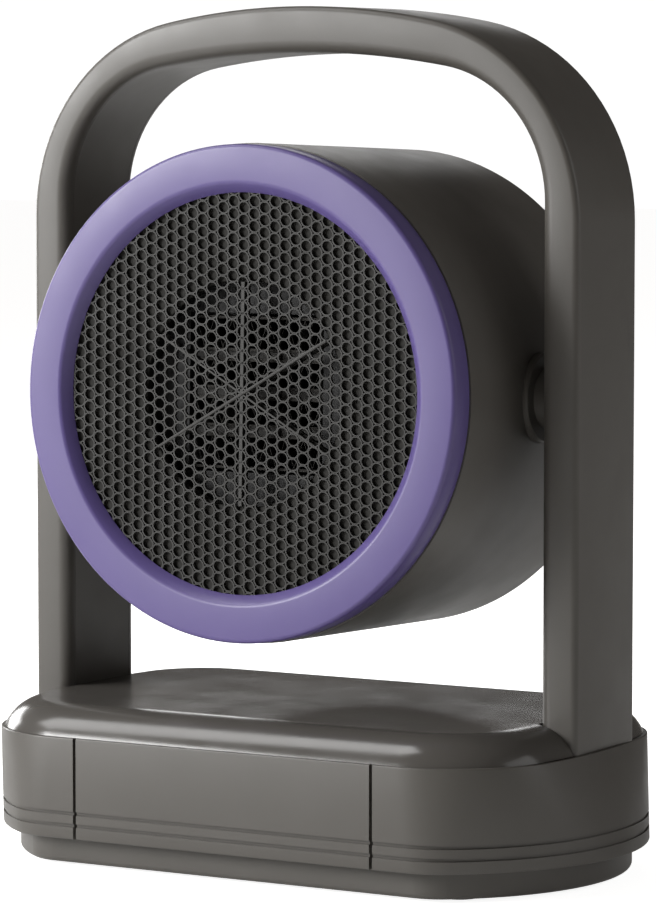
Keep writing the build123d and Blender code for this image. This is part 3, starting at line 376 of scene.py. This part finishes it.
# %% Metal, ceramic and board
def plated_metal(name, colour, roughness, brush=(1, 1, 1)):
    """Plated sheet or wire, with fine marks that run along one direction where brush stretches them."""
    finish = bpy.data.materials.new(name)
    finish.use_nodes = True
    links, tools = finish.node_tree.links, finish.node_tree.nodes
    shader = tools["Principled BSDF"]
    shader.inputs["Base Color"].default_value = (*colour, 1)
    shader.inputs["Metallic"].default_value = 1.0
    place = tools.new("ShaderNodeTexCoord")
    stretch = tools.new("ShaderNodeMapping")
    stretch.inputs["Scale"].default_value = brush
    links.new(place.outputs["Object"], stretch.inputs["Vector"])
    marks = tools.new("ShaderNodeTexNoise")
    marks.inputs["Scale"].default_value = 900
    marks.inputs["Detail"].default_value = 5
    links.new(stretch.outputs["Vector"], marks.inputs["Vector"])
    spread = tools.new("ShaderNodeMapRange")
    spread.inputs["To Min"].default_value = roughness - 0.08
    spread.inputs["To Max"].default_value = roughness + 0.10
    links.new(marks.outputs["Fac"], spread.inputs["Value"])
    links.new(spread.outputs["Result"], shader.inputs["Roughness"])
    bump = tools.new("ShaderNodeBump")
    bump.inputs["Strength"].default_value = 0.2
    bump.inputs["Distance"].default_value = 0.01 * MM
    links.new(marks.outputs["Fac"], bump.inputs["Height"])
    links.new(bump.outputs["Normal"], shader.inputs["Normal"])
    return finish


zinc_steel = plated_metal("zinc_plated_steel", (0.56, 0.56, 0.54), 0.32)
# The fins are aluminium but coloured near black: painted shade for the inside of the duct behind the
# grille.
fin_aluminium_painted_shade = plated_metal("fin_aluminium_painted_shade", (0.05, 0.048, 0.045), 0.6, brush=(1, 12, 1))
# The stones share the fins' near-black tone, which is painted shade for the inside of the duct.
stone_ceramic_painted_shade = moulded_plastic("heating_stone_painted_shade", (0.05, 0.048, 0.045), 0.75,
                                grain=0.7, grain_size=0.25, cloud=0.2)
green_board = moulded_plastic("lacquered_board", (0.01, 0.09, 0.035), 0.28, grain=0.1, cloud=0.15)

# %% [markdown]
# ## Finishes on the plain nodes
# The inner works, the screws and the other pieces whose measured shape is already right keep
# that shape and only get a finish. The record says which finish each node has.

# %% Finishes on the plain nodes
finishes = {
    "body_plastic": taupe_plastic, "cover_plastic": cover_plastic, "purple_plastic": plum_plastic,
    "grille_plastic": grille_plastic, "dark_plastic": dark_plastic, "heat_plastic": heat_plastic,
    "white_plastic": white_nylon, "rubber": foot_rubber, "steel": zinc_steel,
    "aluminium": fin_aluminium_painted_shade, "ceramic": stone_ceramic_painted_shade, "board": green_board}
for part in frame["record"]["subparts"]:
    node = nodes[part["node"]]
    for slot in node.material_slots:
        slot.material = finishes[part["material_slot"]]
print("finishes:", len(finishes))

# %% [markdown]
# ## Plum ring
# The ring round the front is a turned form: a flat face, a soft outer edge, a short funnel down to the
# honeycomb, and a spigot that plugs into the drum. It could be cut from a thick disc, but a section
# that is drawn once and spun gives even edges all round, so the lathe way is taken.

# %% Plum ring
ring_face_y, ring_back_y, ring_r, lip_r, throat_r = -56.4, -47.1, 76.7, 64.9, 61.8
throat_y, pocket_r, pocket_y = -52.9, 63.6, -49.3
spigot_y, spigot_r, spigot_in = -41.1, 74.6, 71.0
outer_round, lip_round, back_round, throat_round = 1.4, 0.8, 0.35, 0.25
ring = draw_chain("plum_ring", [
    (lip_r, ring_face_y), (ring_r, ring_face_y), (ring_r, ring_back_y), (spigot_r, ring_back_y),
    (spigot_r, spigot_y), (spigot_in, spigot_y), (spigot_in, pocket_y), (pocket_r, pocket_y),
    (pocket_r, throat_y), (throat_r, throat_y)])
round_corner(ring, ring_r, ring_face_y, outer_round, 7)
round_corner(ring, lip_r, ring_face_y, lip_round, 5)
round_corner(ring, ring_r, ring_back_y, back_round, 3)
round_corner(ring, throat_r, throat_y, throat_round, 2)
turn_on_lathe(ring, 160)
hang_head(ring)
smooth(ring)
ring.data.materials.append(plum_plastic)
put_on(ring, "head", "purple_plastic", "front_bezel")

# %% [markdown]
# ## Honeycomb
# The grille is a thin plate full of six-sided holes, about nine hundred of them, with walls under a
# millimetre. Holes could be cut from a disc one by one, but a honeycomb is easier the other way round:
# one six-sided cell is repeated until it fills the ring, every cell is inset by half a wall, its middle
# is taken out, the sheet is trimmed round, and the walls that are left get their depth.

# %% One cell and its copies
row_step, column_step, wall, reach = 3.82, 3.72, 0.82, 63.2
corner_cut, comb_depth, weld_gap = 0.55, 1.0, 0.01
cell_side = row_step / math.sqrt(3)
rows = 2 * int(reach / row_step) + 5
pairs = int(reach / column_step) + 2
bpy.ops.object.select_all(action="DESELECT")
bpy.ops.mesh.primitive_circle_add(vertices=6, radius=cell_side * MM, fill_type="NGON",
                                  rotation=(math.pi / 2, math.pi / 6, 0))
comb = bpy.context.object
comb.name = comb.data.name = "honeycomb"
comb.scale = (column_step / (1.5 * cell_side), 1, 1)
settle()
print("cell corners:", [tuple(round(c * 1000, 2) for c in v.co) for v in comb.data.vertices])


def repeat(piece, count, step):
    """Copies of a piece in a row, welded where they touch."""
    only(piece)
    rule = piece.modifiers.new("repeat", "ARRAY")
    rule.count = count
    rule.use_relative_offset = False
    rule.use_constant_offset = True
    rule.constant_offset_displace = step
    rule.use_merge_vertices = True
    rule.merge_threshold = weld_gap * MM
    bpy.ops.object.modifier_apply(modifier="repeat")


repeat(comb, 2, (column_step * MM, 0, row_step / 2 * MM))
repeat(comb, rows, (0, 0, row_step * MM))
repeat(comb, pairs, (2 * column_step * MM, 0, 0))
bpy.ops.object.mode_set(mode="EDIT")
bpy.ops.mesh.select_all(action="SELECT")
bpy.ops.mesh.remove_doubles(threshold=2 * weld_gap * MM)
across, up = (pairs // 2) * 2 * column_step, (rows // 2) * row_step
bpy.ops.transform.translate(value=(-across * MM, 0, -up * MM))
print("cells:", len(comb.data.polygons))

# %% Round the corners and open the cells
bpy.ops.mesh.bevel(offset=corner_cut * MM, segments=1, affect="VERTICES")
cells = pick(comb, "polygons", lambda mesh, face: len(face.vertices) > 6)
bpy.ops.mesh.inset(thickness=wall / 2 * MM, use_individual=True)
bpy.ops.mesh.delete(type="FACE")
print("cells opened:", cells)

# %% Trim and thicken
trim_cuts = 64
for k in range(trim_cuts):
    turn = 2 * math.pi * k / trim_cuts
    way = Vector((math.cos(turn), 0, math.sin(turn)))
    bpy.ops.mesh.select_all(action="SELECT")
    bpy.ops.mesh.bisect(plane_co=way * reach * MM, plane_no=way, clear_outer=True)
bpy.ops.mesh.select_all(action="SELECT")
bpy.ops.transform.translate(value=(0, throat_y * MM, 0))
bpy.ops.mesh.normals_make_consistent(inside=False)
bpy.ops.object.mode_set(mode="OBJECT")
print("faces point forwards:", sum(face.normal.y < 0 for face in comb.data.polygons),
      "of", len(comb.data.polygons))
only(comb)
depth = comb.modifiers.new("depth", "SOLIDIFY")
depth.thickness = comb_depth * MM
depth.offset = -1
bpy.ops.object.modifier_apply(modifier="depth")
print("honeycomb lies between y =", round(min(v.co.y for v in comb.data.vertices) * 1000, 2),
      "and", round(max(v.co.y for v in comb.data.vertices) * 1000, 2))

# %% [markdown]
# ## Ribs of the honeycomb
# Six thin ribs run from the middle of the honeycomb to just past the edge of the opening behind it. They
# lie level with the cells or a little proud, so they catch the light as fine lines. One bar is made from
# a block, its long front edges are bevelled to a narrow crest, and it is turned into three places.

# %% Ribs
rib_length, rib_depth = 69.0, 1.2


def rib(degrees, width, proud, crest):
    """One bar through the middle of the grille, its front edges bevelled by the crest, then turned."""
    front = throat_y - proud
    bar = block((-rib_length / 2, front, -width / 2), (rib_length / 2, front + rib_depth, width / 2))
    bpy.ops.object.mode_set(mode="EDIT")

    def long_front(mesh, edge):
        ends = [mesh.vertices[i].co for i in edge.vertices]
        return (all(abs(end.y - front * MM) < SAME for end in ends)
                and abs(ends[0].x - ends[1].x) > rib_length / 2 * MM)

    pick(bar, "edges", long_front)
    bpy.ops.mesh.bevel(offset=crest * MM, segments=2)
    bpy.ops.object.mode_set(mode="OBJECT")
    bar.rotation_euler = (0, -math.radians(degrees), 0)
    settle()
    return bar


ribs = [rib(90, 1.2, 0.0, 0.06), rib(30, 1.0, 0.2, 0.3), rib(150, 0.6, -0.05, 0.06)]
only(comb, *ribs)
bpy.ops.object.join()
hang_head(comb)
comb.data.materials.append(grille_plastic)
put_on(comb, "head", "grille_plastic", "front_grille")

# %% [markdown]
# ## Baffle
# Behind the honeycomb lies a plate with one round opening, which the warm air leaves by. It is a flat
# washer with a soft inner edge, so it is turned on the lathe from its section, and six spokes
# with a hub hold the middle of the honeycomb from behind.

# %% Baffle plate
baffle_front, baffle_back, baffle_r, opening_r, opening_round = -51.7, -49.3, 63.4, 35.0, 0.7
baffle = draw_chain("baffle", [(opening_r, baffle_front), (baffle_r, baffle_front),
                               (baffle_r, baffle_back), (opening_r, baffle_back)])
round_corner(baffle, opening_r, baffle_front, opening_round, 4)
turn_on_lathe(baffle, 128)

# %% Spokes and hub
spoke_width, spoke_depth, spoke_round, spoke_bite = 2.0, 1.6, 0.35, 0.3
hub_r, hub_depth, hub_border, hub_dish = 4.2, 1.7, 1.0, 0.4
baffle_middle = (baffle_front + baffle_back) / 2
spokes = []
for turn in (30, 90, 150):
    spoke = block((-opening_r - spoke_bite, baffle_middle - spoke_depth / 2, -spoke_width / 2),
                  (opening_r + spoke_bite, baffle_middle + spoke_depth / 2, spoke_width / 2))
    bpy.ops.object.mode_set(mode="EDIT")
    bpy.ops.mesh.select_all(action="SELECT")
    bpy.ops.mesh.bevel(offset=spoke_round * MM, segments=2)
    bpy.ops.object.mode_set(mode="OBJECT")
    spoke.rotation_euler = (0, math.radians(turn), 0)
    settle()
    spokes.append(spoke)
hub = rod(hub_r, hub_depth, (0, baffle_middle, 0))
bpy.ops.object.mode_set(mode="EDIT")
pick(hub, "polygons", lambda mesh, face: abs(face.normal.y) > 0.9)
bpy.ops.mesh.inset(thickness=hub_border * MM, use_individual=True)
bpy.ops.transform.shrink_fatten(value=-hub_dish * MM)
bpy.ops.object.mode_set(mode="OBJECT")
only(baffle, hub, *spokes)
bpy.ops.object.join()
hang_head(baffle)
smooth(baffle)
baffle.data.materials.append(baffle_plastic_painted_shade)
put_on(baffle, "head", "grille_plastic", "baffle_plate")

# %% [markdown]
# ## Arch
# One moulding makes both legs and the handle: a flat band with a nearly straight crown, round
# shoulders and soft edges, softer inside than outside where the fingers go. Its outer and inner
# lines are each straight runs and three arcs. They are drawn with the same number of points, so that
# bridging them gives clean four-sided faces, and the band then gets its depth by one extrusion.

# %% Outer and inner line
arch_front_y, arch_depth, arch_foot_z = -16.4, 40.2, 14.0
outer_rule = {"half": 99.0, "corner": 63.0, "crown": 250.0, "top": 270.2}
inner_rule = {"half": 86.2, "corner": 42.0, "crown": 300.0, "top": 255.8}
outer_soft, inner_soft, shell_edge, liner_depth = 2.0, 3.8, 0.4, 2.4


def centres(rule):
    """Places of the shoulder's and the crown's centres, and the angle of the shoulder's arc."""
    crown_z = rule["top"] - rule["crown"]
    side_x = rule["half"] - rule["corner"]
    rise = math.sqrt((rule["crown"] - rule["corner"]) ** 2 - side_x ** 2)
    return side_x, crown_z + rise, crown_z, math.degrees(math.atan2(rise, side_x))


def arch_line(name, rule):
    """Draw one line of the arch from its left foot over the crown to its right foot."""
    side_x, side_z, crown_z, turn = centres(rule)
    line = start_line(name, Vector((-rule["half"], arch_front_y, arch_foot_z)) * MM)
    draw_by((0, 0, (side_z - arch_foot_z) * MM))
    swing((-side_x, arch_front_y, side_z), -turn, 20)
    swing((0, arch_front_y, crown_z), 2 * turn - 180, 24)
    swing((side_x, arch_front_y, side_z), -turn, 20)
    draw_by((0, 0, (arch_foot_z - side_z) * MM))
    bpy.ops.object.mode_set(mode="OBJECT")
    print(name, "ends at", tuple(round(v * 1000, 2) for v in line.data.vertices[-1].co))
    return line


arch = arch_line("arch", outer_rule)
inner_line = arch_line("inner_line", inner_rule)

# %% Bridge and extrude
only(arch, inner_line)
bpy.ops.object.join()
bpy.ops.object.mode_set(mode="EDIT")
bpy.ops.mesh.select_mode(type="EDGE")
bpy.ops.mesh.select_all(action="SELECT")
bpy.ops.mesh.bridge_edge_loops()
bpy.ops.mesh.select_all(action="SELECT")
bpy.ops.mesh.extrude_region_move(TRANSFORM_OT_translate={"value": (0, arch_depth * MM, 0)})
bpy.ops.mesh.select_all(action="SELECT")
bpy.ops.mesh.remove_doubles(threshold=SAME)
bpy.ops.mesh.normals_make_consistent(inside=False)


# %% Soft edges
level_slack, straight_slack, arc_slack = 0.01, 0.02, 0.05  # in millimetres


def on_line(rule, point):
    """Whether a point lies on one of the arch's lines, seen from the front."""
    side_x, side_z, crown_z, turn = centres(rule)
    x, z = abs(point.x) * 1000, point.z * 1000
    if z <= side_z + level_slack:
        return abs(x - rule["half"]) < straight_slack
    near_corner = abs(math.hypot(x - side_x, z - side_z) - rule["corner"]) < arc_slack
    return near_corner or abs(math.hypot(x, z - crown_z) - rule["crown"]) < arc_slack


def rim_of(rule):
    """Test for the edges at which the sides of the arch meet the surface of one of its lines."""
    def test(mesh, edge):
        a, b = (mesh.vertices[i].co for i in edge.vertices)
        return abs(a.y - b.y) < SAME and on_line(rule, a) and on_line(rule, b)
    return test


print("outer rim edges:", pick(arch, "edges", rim_of(outer_rule)))
bpy.ops.mesh.bevel(offset=outer_soft * MM, segments=5)
print("inner rim edges:", pick(arch, "edges", rim_of(inner_rule)))
bpy.ops.mesh.bevel(offset=inner_soft * MM, segments=7)

# %% [markdown]
# ## Channel for the liner
# The moulding is hollow and open towards the head, and a separate strip closes it. What shows of that is
# a fine line along both edges of the inner side. The inner faces are inset by the width of the
# shell's edge and sunk by the strip's thickness, and the measured strip then lies in the channel.

# %% Channel for the liner
channel = pick(arch, "polygons", lambda mesh, face: abs(face.normal.y) < 0.01 and face.area > MM ** 2
               and all(on_line(inner_rule, mesh.vertices[i].co) for i in face.vertices))
bpy.ops.mesh.inset(thickness=shell_edge * MM, use_boundary=True)
sink(liner_depth)
bpy.ops.object.mode_set(mode="OBJECT")
print("channel faces:", channel)
smooth(arch)
arch.data.materials.append(taupe_plastic)
put_on(arch, "stand", "body_plastic", "arch_shell")

# %% [markdown]
# ## Plan of the base
# Seen from above the base is long and bowed at its ends. The wall leans in a little towards the rim,
# where the plan is straighter, so that the legs of the arch end flush with it. Both outlines are drawn
# as arcs that break at the same directions, so the wall that bridges them keeps its corners upright.

# %% Plan of the base
half_depth, rim_z, wall_low_z, cover_top_z, shoulder = 62.5, 41.8, 9.8, 50.8, 15.0
foot_plan = {"length": 108.0, "corner": 22.0, "bow": 72.0}
rim_plan = {"length": 100.4, "corner": 36.0, "bow": 190.0}


def plan_corner(rule):
    """Centre of the corner arc, and the direction in degrees where the corner meets the bow."""
    corner_y = half_depth - rule["corner"]
    run = math.sqrt((rule["bow"] - rule["corner"]) ** 2 - corner_y ** 2)
    return rule["length"] - rule["bow"] + run, corner_y, math.degrees(math.atan2(corner_y, run))


foot_turn, rim_turn = plan_corner(foot_plan)[2], plan_corner(rim_plan)[2]
runs = ((-foot_turn, 8), (-rim_turn, 12), (rim_turn, 6), (foot_turn, 12), (90, 8))
print("bow meets corner at", round(foot_turn, 1), "degrees at the foot,",
      round(rim_turn, 1), "at the rim")


def base_plan(name, rule, z):
    """Closed outline of the base seen from above, at a height in millimetres."""
    corner_x, corner_y, turn = plan_corner(rule)
    plan = start_line(name, Vector((corner_x, -half_depth, z)) * MM)
    for side in (1, -1):
        here = -90
        for there, steps in runs:
            middle_turn = (here + there) / 2
            centre = (rule["length"] - rule["bow"], 0)
            if abs(middle_turn) > turn:
                centre = (corner_x, math.copysign(corner_y, middle_turn))
            swing((side * centre[0], side * centre[1], z), there - here, steps, (0, 0, -1))
            here = there
        draw_by((-side * 2 * corner_x * MM, 0, 0))
    bpy.ops.mesh.select_all(action="SELECT")
    bpy.ops.mesh.remove_doubles(threshold=SAME)
    return plan


# %% [markdown]
# ## Base cover
# The top of the base is a broad flat dome with a shoulder as round as a thumb. The rim's plan is filled
# and pulled up, and the shoulder is a wide bevel of the top edge. The lower part of that bevel would
# lie inside the base, so it is cut off level with the rim. The legs' recesses are cut last.

# %% Dome
cover_border, cover_hollow, shoulder_rest = 24.0, 6.0, 0.05
cover = base_plan("base_cover_dome", rim_plan, cover_top_z - shoulder)
bpy.ops.mesh.edge_face_add()
bpy.ops.mesh.extrude_region_move(TRANSFORM_OT_translate={"value": (0, 0, shoulder * MM)})
bpy.ops.mesh.select_all(action="SELECT")
bpy.ops.mesh.normals_make_consistent(inside=False)
print("top edges:", pick(cover, "edges", lambda mesh, edge: all(
    abs(mesh.vertices[i].co.z - cover_top_z * MM) < SAME for i in edge.vertices)))
bpy.ops.mesh.bevel(offset=(shoulder - shoulder_rest) * MM, segments=24, clamp_overlap=False)
bpy.ops.mesh.select_all(action="SELECT")
bpy.ops.mesh.bisect(plane_co=(0, 0, rim_z * MM), plane_no=(0, 0, 1), clear_inner=True, use_fill=True)
bpy.ops.mesh.inset(thickness=cover_border * MM)
bpy.ops.mesh.extrude_region_move(TRANSFORM_OT_translate={"value": (0, 0, cover_hollow * MM)})
bpy.ops.object.mode_set(mode="OBJECT")

# %% Recesses for the legs
past = 2.0  # how far a cut reaches beyond what it cuts
leg_clear = 0.3
leg_low_y, leg_high_y = arch_front_y - leg_clear, arch_front_y + arch_depth + leg_clear
leg_in, leg_out = inner_rule["half"] - leg_clear, outer_rule["half"] + leg_clear
for side in (-1, 1):
    near, far = sorted((side * leg_in, side * leg_out))
    cut_box(cover, (near, leg_low_y, rim_z - past), (far, leg_high_y, cover_top_z + past))
smooth(cover, 35)
cover.data.materials.append(cover_plastic)
put_on(cover, "stand", "cover_plastic", "base_cover")

# %% [markdown]
# ## Wall of the base
# The wall is the bridge between the two outlines, given its thickness inwards. Two fine grooves run
# round it: the wall is cut level at their edges, and the bands between are sunk. The front panel is a
# moulding of its own that the grooves cross, so it is the same wall once more, kept only in front.

# %% Wall
wall_thick, rim_soft, groove_width, groove_depth, groove_levels = 2.6, 0.45, 1.1, 0.7, (14.2, 18.0)
skirt = base_plan("base_wall", foot_plan, wall_low_z)
bpy.ops.object.mode_set(mode="OBJECT")
rim_line = base_plan("rim_line", rim_plan, rim_z)
bpy.ops.object.mode_set(mode="OBJECT")
only(skirt, rim_line)
bpy.ops.object.join()
bpy.ops.object.mode_set(mode="EDIT")
bpy.ops.mesh.select_mode(type="EDGE")
bpy.ops.mesh.select_all(action="SELECT")
bpy.ops.mesh.bridge_edge_loops()
bpy.ops.mesh.select_all(action="SELECT")
bpy.ops.mesh.normals_make_consistent(inside=False)
bpy.ops.object.mode_set(mode="OBJECT")
outline_points = len(skirt.data.vertices)
thick = skirt.modifiers.new("thick", "SOLIDIFY")
thick.thickness, thick.offset, thick.use_even_offset = wall_thick * MM, -1, True
bpy.ops.object.modifier_apply(modifier="thick")


def faces_out(face):
    """Whether a face of the wall looks away from the middle of the base."""
    return face.normal.x * face.center.x + face.normal.y * face.center.y > 10 * SAME


print("wall:", sum(faces_out(face) for face in skirt.data.polygons),
      "of", len(skirt.data.polygons), "faces look out")

# %% Soft rims and grooves
def on_rim(mesh, edge):
    """Whether an edge runs level along the outer foot or the outer rim of the wall."""
    a, b = (mesh.vertices[i].co for i in edge.vertices)
    return max(edge.vertices) < outline_points and abs(a.z - b.z) < SAME


bpy.ops.object.mode_set(mode="EDIT")
print("rim edges:", pick(skirt, "edges", on_rim))
bpy.ops.mesh.bevel(offset=rim_soft * MM, segments=3)
for level in groove_levels:
    for z in (level - groove_width / 2, level + groove_width / 2):
        bpy.ops.mesh.select_all(action="SELECT")
        bpy.ops.mesh.bisect(plane_co=(0, 0, z * MM), plane_no=(0, 0, 1))
bands = pick(skirt, "polygons", lambda mesh, face: faces_out(face) and any(
    abs(face.center.z - level * MM) < groove_width / 2 * MM for level in groove_levels))
sink(groove_depth)
bpy.ops.object.mode_set(mode="OBJECT")
print("groove faces:", bands)

# %% Front panel
panel_half, seam, panel_depth, panel_gap = 52.9, 1.1, 2.0, 0.1
only(skirt)
bpy.ops.object.duplicate()
panel = bpy.context.object
panel.name = panel.data.name = "front_wall_panel"
combine(panel, block((-panel_half, -half_depth - past, wall_low_z - past),
                     (panel_half, -half_depth + panel_depth - panel_gap, rim_z + past)), "INTERSECT")
cut_box(skirt, (-panel_half - seam, -half_depth - past, wall_low_z - past),
        (panel_half + seam, -half_depth + panel_depth, rim_z + past))
smooth(panel)
panel.data.materials.append(taupe_plastic)
put_on(panel, "stand", "body_plastic", "front_panel")

# %% [markdown]
# ## Field at the back
# The switch and the bush for the lead sit in a recessed field with round corners. It is added to the
# wall as a block and hollowed out from behind, and two openings let the switch and the bush through.

# %% Field at the back
def field_block(low, high, radius):
    """Block with its four edges along Y rounded."""
    tool = block(low, high)

    def along_y(mesh, edge):
        a, b = (mesh.vertices[i].co for i in edge.vertices)
        return abs(a.y - b.y) > SAME

    bpy.ops.object.mode_set(mode="EDIT")
    pick(tool, "edges", along_y)
    bpy.ops.mesh.bevel(offset=radius * MM, segments=8)
    bpy.ops.object.mode_set(mode="OBJECT")
    return tool


field_half, field_low_z, field_high_z = 58.0, 21.0, 37.0
field_depth, field_wall, field_round = 4.5, 2.0, 4.0
switch_x, switch_half_width, switch_half_height = 42.0, 9.7, 6.2
bush_x, bush_r = -42.0, 6.2
field_floor_y = half_depth - field_depth
field_middle_z = (field_low_z + field_high_z) / 2
combine(skirt, field_block(
    (-field_half - field_wall, field_floor_y - field_wall, field_low_z - field_wall),
    (field_half + field_wall, half_depth - wall_thick / 2, field_high_z + field_wall),
    field_round + field_wall), "UNION")
combine(skirt, field_block((-field_half, field_floor_y, field_low_z),
                           (field_half, half_depth + past, field_high_z), field_round), "DIFFERENCE")
cut_box(skirt, (switch_x - switch_half_width, field_floor_y - field_wall - past,
                field_middle_z - switch_half_height),
        (switch_x + switch_half_width, field_floor_y + past, field_middle_z + switch_half_height))
combine(skirt, rod(bush_r, 2 * (field_wall + past), (bush_x, field_floor_y, field_middle_z)),
        "DIFFERENCE")
smooth(skirt)
skirt.data.materials.append(taupe_plastic)
put_on(skirt, "stand", "body_plastic", "base_skirt")
